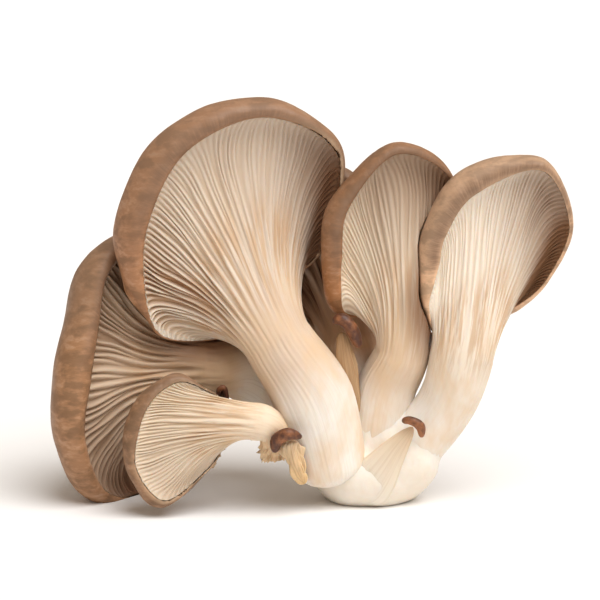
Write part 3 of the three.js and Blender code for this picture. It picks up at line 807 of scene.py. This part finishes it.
def rod_net(points, radii, count, rows, seed, grain, flat=1.0, frayed=False):
    """A bent rod with rounded ends, its net in rows from tip to tip."""
    around = np.arange(count)[None, :] / count
    t = net_of(np.linspace(0, 1, rows), around)
    place = t[:, 0] * (len(points) - 1)
    centre = along_curve(points, place, False)
    ahead = along_curve(points, np.minimum(place + 0.01, len(points) - 1), False)
    behind = along_curve(points, np.maximum(place - 0.01, 0), False)
    way = unit(ahead - behind)
    side = unit(np.cross(way, np.array([0.0, -1.0, 0.12])))
    front = np.cross(side, way)
    thick = np.interp(t[:, 0], np.linspace(0, 1, len(radii)), radii)
    ends = np.sqrt(np.maximum(0, 1 - np.abs(2 * t[:, 0] - 1) ** 6))
    r = (thick * ends)[:, None]
    rough = 1 + grain * lattice_noise(around, t, 14, 3, seed)
    rough = rough + grain * 0.6 * lattice_noise(around, t, 5, 5, seed + 1)
    if frayed:
        rough = rough + (0.02 + grain * 0.6) * lattice_noise(around, t, 24, 6, seed + 2)
    across = side[:, None] * (r * rough * np.cos(around * TURN))[..., None]
    deep = front[:, None] * (r * rough * flat * np.sin(around * TURN))[..., None]
    return centre[:, None] + across + deep, {"along": t, "lie": lie_of(around + 0 * t, t)}


def butt_flesh():
    """The butt: its lobes and the thick starts of the stems, grown into one body."""
    bm = bmesh.new()
    for middle, half in BUTT_LOBES:
        place = Matrix.Translation(Vector(middle)) @ Matrix.Diagonal((*half, 1))
        bmesh.ops.create_icosphere(bm, subdivisions=4, radius=1, matrix=place)
    for m in MUSHROOMS:
        if m.name not in JOINED_STEMS:
            continue
        stem = Stem(m)
        for t in np.linspace(*STEM_SPAN, 14):
            r = float(stem.radius(t)) + BUTT_OVER - BUTT_THINS * float(smoothstep(0.14, 0.32, t))
            along, front, side = stem.directions(np.array(t))
            axes = np.stack([front * r * m.flat, side * r, along * r, stem.centre(t)], axis=1)
            place = Matrix([*axes.tolist(), (0, 0, 0, 1)])
            bmesh.ops.create_icosphere(bm, subdivisions=3, radius=1, matrix=place)
    bmesh.ops.scale(bm, vec=(MM, MM, MM), verts=bm.verts)
    bmesh.ops.translate(bm, vec=Vector(-BOX_MIDDLE * MM), verts=bm.verts)
    made = linked("butt_flesh", mesh_from(bm, "butt_flesh"))
    remesh = made.modifiers.new("grown_together", "REMESH")
    remesh.mode = "VOXEL"
    remesh.voxel_size = VOXEL * MM
    smooth = made.modifiers.new("rounded", "SMOOTH")
    smooth.factor = 0.6
    smooth.iterations = 34
    applied(made)
    mesh = made.data
    for vertex in mesh.vertices:
        p = vertex.co / MM
        low = 1 - float(smoothstep(ROUGH_LOW, ROUGH_HIGH, p.z))
        lumps = noise.noise(p * 0.12) * 0.7 * low + noise.noise(p * 0.4) * 0.12
        threads = noise.noise(Vector((p.x * 1.3, p.y * 1.3, p.z * 0.3))) * 0.05
        vertex.co += vertex.normal * (lumps + threads) * MM
        vertex.co.z = max(vertex.co.z, 0)
    mesh.shade_smooth()
    return made


# Materials


class Recipe:
    """A material's nodes, added one after another."""

    def __init__(self, name):
        self.material = bpy.data.materials.new(name)
        self.material.use_nodes = True
        self.nodes = self.material.node_tree.nodes
        self.links = self.material.node_tree.links
        self.shader = self.nodes["Principled BSDF"]
        self.place = self.add("ShaderNodeTexCoord").outputs["Object"]

    def add(self, kind, inputs=None, **settings):
        """A node with its settings, its inputs given as values or as sockets to link."""
        node = self.nodes.new(kind)
        for key, value in settings.items():
            setattr(node, key, value)
        for key, value in (inputs or {}).items():
            self.feed(node.inputs[key], value)
        return node

    def feed(self, socket, value):
        if isinstance(value, bpy.types.NodeSocket):
            self.links.new(value, socket)
        else:
            socket.default_value = value

    def mark(self, name, vector=False):
        node = self.add("ShaderNodeAttribute", attribute_name=name)
        return node.outputs["Vector" if vector else "Fac"]

    def grain(self, vector, stretch, scale, detail=4.0, roughness=0.6):
        """Noise on a vector that is stretched first."""
        mapping = self.add("ShaderNodeMapping", {"Vector": vector, "Scale": stretch})
        found = self.add(
            "ShaderNodeTexNoise",
            {"Vector": mapping.outputs[0], "Scale": scale, "Detail": detail, "Roughness": roughness},
        )
        return found.outputs["Fac"]

    def ramp(self, factor, stops):
        """A colour ramp from (place, colour) stops."""
        node = self.add("ShaderNodeValToRGB", {"Fac": factor})
        elements = node.color_ramp.elements
        while len(elements) < len(stops):
            elements.new(0.5)
        for element, (place, colour) in zip(elements, stops):
            element.position = place
            element.color = (*colour, 1)
        return node.outputs["Color"]

    def span(self, value, low, high, to_low=0.0, to_high=1.0):
        """A value moved from one span to another, and kept within it."""
        node = self.add(
            "ShaderNodeMapRange",
            {"Value": value, "From Min": low, "From Max": high, "To Min": to_low, "To Max": to_high},
        )
        return node.outputs["Result"]

    def mix(self, factor, a, b, blend="MIX"):
        """Two colours mixed. The node's first sockets are for numbers, so colours go by place."""
        a, b = ((*c, 1) if isinstance(c, tuple) else c for c in (a, b))
        inputs = {"Factor": factor, 6: a, 7: b}
        return self.add("ShaderNodeMix", inputs, data_type="RGBA", blend_type=blend).outputs[2]

    def tint(self, base, colour, value, low, high, most):
        """A colour laid over the base, from none of it where the value is low to the most of it."""
        return self.mix(self.span(value, low, high, 0, most), base, colour)

    def math(self, operation, a, b):
        return self.add("ShaderNodeMath", {0: a, 1: b}, operation=operation).outputs[0]

    def product(self, a, b):
        return self.math("MULTIPLY", a, b)

    def bump(self, height, distance, strength=1.0, under=None):
        node = self.add("ShaderNodeBump", {"Height": height, "Distance": distance, "Strength": strength})
        if under is not None:
            self.feed(node.inputs["Normal"], under)
        return node.outputs["Normal"]

    def finish(self, colour, roughness, normal, subsurface=0.0):
        self.feed(self.shader.inputs["Base Color"], colour)
        self.feed(self.shader.inputs["Roughness"], roughness)
        self.feed(self.shader.inputs["Normal"], normal)
        self.shader.inputs["Subsurface Weight"].default_value = subsurface
        self.shader.inputs["Subsurface Radius"].default_value = (1.0, 0.55, 0.3)
        self.shader.inputs["Subsurface Scale"].default_value = 1.6 * MM
        self.shader.inputs["Specular IOR Level"].default_value = 0.35
        return self.material


def flesh_material(m, colours):
    """Pale flesh: white at the foot, cream on the stem, pale gills over grooves painted darker as shade,
    darker and warmer where the gills are cut deep, painted shade towards the rim where little light
    gets in, and painted shadow beside the rims of the heads in front."""
    recipe = Recipe(f"{m.name} flesh")
    along = recipe.mark("along")
    ridge = recipe.mark("ridge")
    shade = recipe.mark("shade")
    lie = recipe.mark("lie", vector=True)
    edge = recipe.ramp(
        recipe.span(along, -1, 1),
        [
            (0.0, m.foot_colour),
            (0.22, m.foot_colour),
            (0.4, m.stem_colour),
            (0.52, m.stem_colour),
            (0.64, m.edge_colour),
            (1.0, m.edge_colour),
        ],
    )
    # painted shade in the grooves between the gills, darker and warmer where they are cut deep
    deep_groove_shade = tuple(c * k for c, k in zip(m.groove_colour, (0.66, 0.44, 0.28)))
    deep = recipe.span(recipe.mark("deep"), 0.9, 1.3)
    groove = recipe.mix(deep, m.groove_colour, deep_groove_shade)
    groove = recipe.mix(recipe.span(along, -0.2, 0.2), m.stem_colour, groove)
    base = recipe.mix(recipe.span(ridge, 0.02, 0.8), groove, edge)
    streaks = recipe.grain(lie, (1, 1, 0.2), 30, 3.0)
    streaked = recipe.tint(base, m.groove_colour, streaks, 0.5, 0.8, 0.3)
    started = recipe.span(along, m.fade - 0.5, m.fade - 0.2)
    ends = recipe.product(started, recipe.span(along, m.fade + 0.14, m.fade))
    blotches = recipe.grain(lie, (1, 1, 0.8), 9, 4.0)
    spots = recipe.product(ends, recipe.span(blotches, 0.44, 0.56, 0, 0.75))
    blotched = recipe.mix(spots, streaked, colours.flesh_neck[:])
    patches = recipe.grain(recipe.place, (1, 1, 0.4), 75, 4.0)
    stain = recipe.product(recipe.span(patches, 0.47, 0.64, 0, 0.62), recipe.span(along, 0.3, 0, 0.2, 1))
    warmed = recipe.mix(stain, blotched, colours.flesh_blush[:])
    # painted shade towards the rim, and painted shadow beside the rims of the heads in front, both laid on
    # in the flesh shade colour
    dark = recipe.math("MAXIMUM", shade, recipe.product(recipe.mark("rim_shadow"), RIM_SHADOW_DARK))
    shaded = recipe.mix(dark, warmed, colours.flesh_shade[:], "MULTIPLY")
    fine = recipe.grain(lie, (1, 1, 0.12), 90, 2.0)
    pores = recipe.grain(recipe.place, (1, 1, 1), 900, 3.0)
    normal = recipe.bump(fine, 0.1 * MM, 0.4)
    normal = recipe.bump(pores, 0.08 * MM, 0.3, normal)
    rough = recipe.span(patches, 0.3, 0.7, 0.52, 0.72)
    return recipe.finish(shaded, rough, normal, subsurface=0.25)


def skin_material(m, colours):
    """Brown cap skin, softly mottled along the way from rim to crown, with fine fibres and a
    darker, wrinkled stretch behind the lip."""
    recipe = Recipe(f"{m.name} cap skin")
    along = recipe.mark("along")
    lie = recipe.mark("lie", vector=True)
    dark = tuple(c * k for c, k in zip(m.skin_colour, (0.55, 0.58, 0.6)))
    light = tuple(min(1, c * 1.28 + 0.02) for c in m.skin_colour)
    near = recipe.span(along, 0.22, 0.5, 1, 0.3)
    body = recipe.ramp(
        along,
        [(0.0, light), (0.04, m.skin_colour), (0.3, m.skin_colour), (0.6, dark), (1.0, dark)],
    )
    mottle = recipe.grain(recipe.place, (0.38, 1, 1.5), 380, 4.0, 0.65)
    mottled = recipe.mix(recipe.product(recipe.span(mottle, 0.42, 0.6, 0, 0.8), near), body, light)
    clouds = recipe.grain(recipe.place, (0.6, 1, 1.4), 190, 4.0)
    clouded = recipe.mix(recipe.product(recipe.span(clouds, 0.46, 0.6, 0, 0.75), near), mottled, dark)
    bloom = recipe.product(recipe.span(mottle, 0.5, 0.64), recipe.span(clouds, 0.52, 0.4))
    dusted = recipe.mix(recipe.product(recipe.product(bloom, near), 0.4), clouded, colours.bloom[:])
    fibres = recipe.grain(lie, (1, 1, 0.14), 60, 4.0, 0.6)
    fibred = recipe.tint(dusted, dark, fibres, 0.46, 0.7, 0.12)
    wrinkled = recipe.product(recipe.mark("wrinkled"), recipe.span(fibres, 0.3, 0.6, 0.45, 1))
    browned = recipe.mix(recipe.product(wrinkled, 0.8), fibred, colours.lip[:])
    # greyer, darker top of the cap: partly the skin's own tone, partly painted shade against the light
    # from above
    topped = recipe.mix(recipe.product(recipe.mark("top"), 0.5), browned, colours.top_tone_and_shade[:])
    finished = recipe.mix(recipe.product(recipe.mark("torn"), 0.9), topped, colours.torn_flesh[:])
    fine = recipe.grain(lie, (1, 1, 0.12), 110, 3.0)
    normal = recipe.bump(fine, 0.1 * MM, 0.4)
    normal = recipe.bump(clouds, 0.2 * MM, 0.4, normal)
    rough = recipe.span(clouds, 0.3, 0.7, 0.42, 0.62)
    return recipe.finish(finished, rough, normal, subsurface=0.06)


def butt_material(colours):
    """White felted flesh, warmer low down and in random patches."""
    recipe = Recipe("butt flesh")
    low = recipe.add("ShaderNodeSeparateXYZ", {"Vector": recipe.place}).outputs["Z"]
    patches = recipe.grain(recipe.place, (1, 1, 1), 90, 4.0)
    base = recipe.mix(recipe.span(low, 0.0, 24 * MM), colours.butt_low[:], colours.butt_high[:])
    warmed = recipe.tint(base, colours.butt_warm[:], patches, 0.45, 0.7, 0.45)
    threads = recipe.grain(recipe.place, (1, 1, 0.3), 380, 4.0)
    felt = recipe.grain(recipe.place, (1, 1, 1), 1100, 2.0)
    normal = recipe.bump(threads, 0.35 * MM, 0.5)
    normal = recipe.bump(felt, 0.12 * MM, 0.4, normal)
    rough = recipe.span(patches, 0.3, 0.7, 0.6, 0.8)
    return recipe.finish(warmed, rough, normal, subsurface=0.3)


def pin_flesh_material(pin, colours):
    """Tan, fibrous flesh of a pin's stem."""
    recipe = Recipe(f"pin flesh {pin.name}")
    along = recipe.mark("along")
    lie = recipe.mark("lie", vector=True)
    base = recipe.mix(recipe.span(along, 0.1, 0.9), pin.foot_colour, pin.neck_colour)
    streaks = recipe.grain(lie, (1, 1, 0.2), 7, 4.0)
    dark = tuple(c * k for c, k in zip(pin.neck_colour, (0.62, 0.5, 0.4)))
    strength = min(0.65, 0.08 + 3.4 * pin.frayed)
    streaked = recipe.tint(base, dark, streaks, 0.48, 0.66, strength)
    pale = recipe.grain(lie, (1, 1, 0.15), 16, 2.0)
    fibres = recipe.span(pale, 0.52, 0.66, 0, 0.6 * strength)
    fibred = recipe.mix(fibres, streaked, colours.pin_fibre[:], "SCREEN")
    fine = recipe.grain(recipe.place, (1, 1, 0.4), 700, 3.0)
    normal = recipe.bump(fine, 0.2 * MM, 0.5)
    rough = recipe.span(streaks, 0.3, 0.7, 0.5, 0.7)
    return recipe.finish(fibred, rough, normal, subsurface=0.2)


def pin_skin_material(colours):
    """Dark brown skin of the pins' curled caps, lighter where it is stretched."""
    recipe = Recipe("pin skin")
    lie = recipe.mark("lie", vector=True)
    patches = recipe.grain(recipe.place, (1, 1, 1), 240, 4.0)
    streaks = recipe.grain(lie, (1, 1, 0.3), 6, 4.0)
    base = recipe.mix(recipe.span(patches, 0.45, 0.65), colours.pin_skin[:], colours.pin_skin_light[:])
    streaked = recipe.tint(base, colours.pin_skin[:], streaks, 0.5, 0.7, 0.5)
    normal = recipe.bump(patches, 0.25 * MM, 0.5)
    rough = recipe.span(patches, 0.3, 0.7, 0.34, 0.55)
    return recipe.finish(streaked, rough, normal, subsurface=0.05)


def floor_material(colours):
    """Plain pale floor."""
    recipe = Recipe("floor")
    faint = recipe.grain(recipe.place, (1, 1, 1), 3, 2.0)
    near = tuple(c * 0.99 for c in colours.floor[:])
    base = recipe.mix(recipe.span(faint, 0.3, 0.7), near, colours.floor[:])
    recipe.feed(recipe.shader.inputs["Base Color"], base)
    recipe.shader.inputs["Roughness"].default_value = 0.85
    recipe.shader.inputs["Specular IOR Level"].default_value = 0.1
    return recipe.material


# Settings


def colour(name, description, default):
    """A colour that a user may change."""
    return FloatVectorProperty(
        name=name, description=description, default=default, size=3, min=0, max=1, subtype="COLOR"
    )


def number(name, description, default, low, high, **kind):
    """A number that a user may change."""
    return FloatProperty(name=name, description=description, default=default, min=low, max=high, **kind)


def length(name, description, default, low, high):
    """A length that a user may change, given in mm."""
    sizes = (default * MM, low * MM, high * MM)
    return number(name, description, *sizes, precision=5, unit="LENGTH")


def angle(name, description, default, high):
    """An angle that a user may change, given in degrees."""
    sizes = (math.radians(default), 0, math.radians(high))
    return number(name, description, *sizes, subtype="ANGLE")


class MushroomSizes(bpy.types.PropertyGroup):
    """Sizes of the fine forms."""

    gill_crest: number("Gill crest", "Flat share of a gill's half width", 0.1, 0, 0.9, subtype="FACTOR")
    skin_creases: length("Skin creases", "Height of the skin's radial creases", 0.04, 0, 1)
    skin_wrinkles: length("Skin wrinkles", "Height of the wrinkles behind the lip", 0.18, 0, 2)


class MushroomColours(bpy.types.PropertyGroup):
    """Colours that the pieces share."""

    flesh_blush: colour("Flesh blush", "Warm patches on the flesh", (0.7, 0.5, 0.31))
    flesh_neck: colour("Flesh, neck", "Blotches where the gills end", (0.56, 0.37, 0.22))
    flesh_shade: colour("Flesh shade", "Tint of the gills at the shaded rim", (0.25, 0.14, 0.08))
    bloom: colour("Bloom", "Pale bloom on the cap skin", (0.47, 0.32, 0.215))
    lip: colour("Behind the lip", "Wrinkled skin behind the lip", (0.19, 0.095, 0.05))
    # greyer, darker skin along the top: partly the skin's own tone, partly painted shade
    top_tone_and_shade: colour("Skin, top", "Greyer skin along the top of a cap", (0.22, 0.14, 0.09))
    torn_flesh: colour("Torn flesh", "Flesh that shows where the rim is torn", (0.56, 0.4, 0.26))
    butt_high: colour("Butt, high", "Flesh of the butt near the stems", (0.83, 0.79, 0.73))
    butt_low: colour("Butt, low", "Flesh of the butt near the surface", (0.8, 0.73, 0.63))
    butt_warm: colour("Butt, warm", "Warm patches on the butt", (0.73, 0.6, 0.46))
    pin_fibre: colour("Pin fibres", "Pale fibres on a pin's stem", (0.16, 0.11, 0.055))
    pin_skin: colour("Pin skin", "Dark skin of a pin's cap", (0.085, 0.032, 0.018))
    pin_skin_light: colour("Pin skin, light", "Lighter skin of a pin's cap", (0.32, 0.125, 0.05))
    floor: colour("Floor", "The plain floor", (0.93, 0.93, 0.93))


class StageSettings(bpy.types.PropertyGroup):
    """Camera and light."""

    distance: length("Camera distance", "From the camera to the cluster", 750, 100, 10000)
    elevation: angle("Camera elevation", "Camera's height above the horizon", 10, 90)
    view_width: length("View width", "Width that the camera takes in at the cluster", 168, 10, 10000)
    aim_height: length("Aim height", "Height of the point that the camera looks at", 58, 0, 1000)
    key_strength: number("Key light", "Strength of the key light", 3.1, 0, 100)
    key_softness: angle("Key softness", "How wide the key light is in the sky", 50, 180)
    key_from: FloatVectorProperty(
        name="Key direction", description="Where the key light comes from",
        default=(0.4, -0.5, 1.0), size=3, subtype="DIRECTION",
    )
    sky: number("Sky", "Strength of the even light from all round", 0.44, 0, 10)
    sky_colour: colour("Sky colour", "Tint of the even light", (1, 0.86, 0.72))
    floor_size: IntProperty(
        name="Floor size", description="Width of the floor, m", default=6, min=1, max=50
    )


class MushroomCluster(bpy.types.PropertyGroup):
    """All the settings of the cluster."""

    sizes: PointerProperty(type=MushroomSizes)
    colours: PointerProperty(type=MushroomColours)
    stage: PointerProperty(type=StageSettings)


# Operators


class MUSHROOM_OT_stage(bpy.types.Operator):
    """Make the floor, the light and the camera"""

    bl_idname = "mushroom.stage"
    bl_label = "Stage"

    def execute(self, context):
        settings = context.scene.mushroom_cluster
        stage = settings.stage
        self.floor(settings)
        aim = Vector((-BOX_MIDDLE[0] * MM, -BOX_MIDDLE[1] * MM, stage.aim_height))
        self.camera(context, stage, aim)
        self.key_light(stage)
        self.sky(context, stage)
        context.scene.view_settings.view_transform = "Standard"
        return {"FINISHED"}

    def floor(self, settings):
        bm = bmesh.new()
        bmesh.ops.create_grid(bm, x_segments=1, y_segments=1, size=settings.stage.floor_size / 2)
        made = linked("floor", mesh_from(bm, "floor"))
        made.data.materials.append(floor_material(settings.colours))

    def camera(self, context, stage, aim):
        camera = bpy.data.cameras.new("camera")
        camera.sensor_width = 36
        camera.lens = camera.sensor_width * stage.distance / stage.view_width
        made = linked("camera", camera)
        back = Vector((0, -math.cos(stage.elevation), math.sin(stage.elevation)))
        made.location = aim + back * stage.distance
        made.rotation_euler = (-back).to_track_quat("-Z", "Y").to_euler()
        context.scene.camera = made

    def key_light(self, stage):
        light = bpy.data.lights.new("key_light", "SUN")
        light.energy = stage.key_strength
        light.angle = stage.key_softness
        made = linked("key_light", light)
        made.rotation_euler = (-Vector(stage.key_from)).to_track_quat("-Z", "Y").to_euler()

    def sky(self, context, stage):
        world = bpy.data.worlds.new("sky")
        world.use_nodes = True
        background = world.node_tree.nodes["Background"]
        background.inputs["Color"].default_value = (*stage.sky_colour[:], 1)
        background.inputs["Strength"].default_value = stage.sky
        context.scene.world = world


class MUSHROOM_OT_heads(bpy.types.Operator):
    """Grow each mushroom's gilled flesh and its cap skin"""

    bl_idname = "mushroom.heads"
    bl_label = "Stems, gills and caps"

    def execute(self, context):
        settings = context.scene.mushroom_cluster
        needed = {name for m in MUSHROOMS for name in m.yields_to}
        rooms = {m.name: head_room(m) for m in MUSHROOMS if m.name in needed}
        for m in MUSHROOMS:
            flesh = cleared(gilled_flesh(m, settings.sizes), m, rooms)
            material = flesh_material(m, settings.colours)
            # painted shadow beside the rims of the heads in front
            paint_rim_shadow(flesh, m)
            settle(flesh, f"stem_and_gills_{m.name}", material)
            cap = cleared(cap_skin(m, settings.sizes), m, rooms)
            settle(cap, f"cap_{m.name}", skin_material(m, settings.colours))
        for room in rooms.values():
            bpy.data.objects.remove(room)
        return {"FINISHED"}


class MUSHROOM_OT_butt(bpy.types.Operator):
    """Grow the butt round the starts of the stems"""

    bl_idname = "mushroom.butt"
    bl_label = "Butt"

    def execute(self, context):
        colours = context.scene.mushroom_cluster.colours
        settle(butt_flesh(), "butt", butt_material(colours))
        return {"FINISHED"}


class MUSHROOM_OT_pins(bpy.types.Operator):
    """Grow the pins, each a stem and a curled cap"""

    bl_idname = "mushroom.pins"
    bl_label = "Pins"

    def execute(self, context):
        colours = context.scene.mushroom_cluster.colours
        skin = pin_skin_material(colours)
        for pin in PINS:
            flesh = pin_flesh_material(pin, colours)
            net, marks = rod_net(
                pin.stem, pin.stem_radius, count=60, rows=44, seed=pin.seed,
                grain=pin.frayed, flat=pin.stem_flat, frayed=True,
            )
            settle(woven(f"pin_stalk_{pin.name}", net, marks), f"pin_stem_{pin.name}", flesh)
            net, marks = rod_net(
                pin.cap, pin.cap_radius, count=44, rows=40, seed=pin.seed + 50, grain=0.05
            )
            settle(woven(f"pin_hood_{pin.name}", net, marks), f"pin_cap_{pin.name}", skin)
        return {"FINISHED"}


class MUSHROOM_PT_cluster(bpy.types.Panel):
    """Lists what the cluster is made of"""

    bl_label = "Oyster Mushroom Cluster"
    bl_idname = "MUSHROOM_PT_cluster"
    bl_space_type = "VIEW_3D"
    bl_region_type = "UI"
    bl_category = "Mushrooms"

    def draw(self, context):
        settings = context.scene.mushroom_cluster
        column = self.layout.column()
        for operator in OPERATORS:
            column.operator(operator.bl_idname)
        for group in (settings.sizes, settings.colours, settings.stage):
            for key in group.__annotations__:
                column.prop(group, key)


OPERATORS = (MUSHROOM_OT_stage, MUSHROOM_OT_heads, MUSHROOM_OT_butt, MUSHROOM_OT_pins)
CLASSES = (MushroomSizes, MushroomColours, StageSettings, MushroomCluster, *OPERATORS, MUSHROOM_PT_cluster)


def register():
    for cls in CLASSES:
        bpy.utils.register_class(cls)
    bpy.types.Scene.mushroom_cluster = PointerProperty(type=MushroomCluster)


def unregister():
    del bpy.types.Scene.mushroom_cluster
    for cls in reversed(CLASSES):
        bpy.utils.unregister_class(cls)


def main():
    register()
    bpy.ops.mushroom.stage()
    bpy.ops.mushroom.heads()
    bpy.ops.mushroom.butt()
    bpy.ops.mushroom.pins()
    bpy.context.view_layer.update()


if __name__ == "__main__":
    main()
